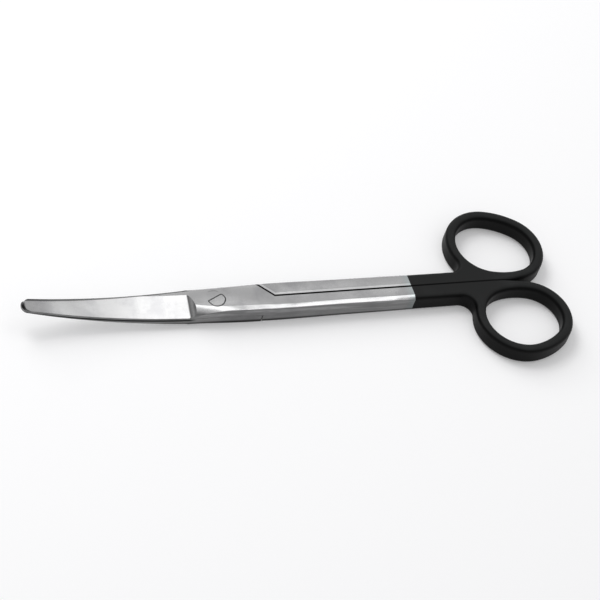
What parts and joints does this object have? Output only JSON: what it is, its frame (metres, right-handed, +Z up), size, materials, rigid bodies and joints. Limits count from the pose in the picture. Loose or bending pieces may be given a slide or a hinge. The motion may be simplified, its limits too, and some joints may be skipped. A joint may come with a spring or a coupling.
{
  "type": "dissecting scissors",
  "caption": "Surgical dissecting scissors with blades curved on the flat, a screwed lap joint, slim shanks and black-coated finger rings.",
  "frame": {"origin": "on the pivot axis, at the underside that the closed scissors rest on", "axes": "+X along the closed shanks towards the finger rings, the tips point to -X; +Y towards the rear half's ring; +Z up, the way both blades curve"},
  "size_m": [0.1697, 0.0556, 0.0096],
  "materials": {
    "steel": "satin stainless steel, ground and polished",
    "screw_steel": "satin stainless steel",
    "black_coat": "semi-matt black coat"
  },
  "bodies": {
    "front": {"front_half": "steel", "front_handle_coating": "black_coat", "pivot_screw": "screw_steel"},
    "rear": {"rear_half": "steel", "rear_handle_coating": "black_coat"}
  },
  "joints": [
    {"name": "pivot", "type": "hinge", "parent": "front", "child": "rear", "pos_m": [0, 0, 0.0029], "axis": [0, 0, 1], "range_deg": [0, 135]}
  ]
}
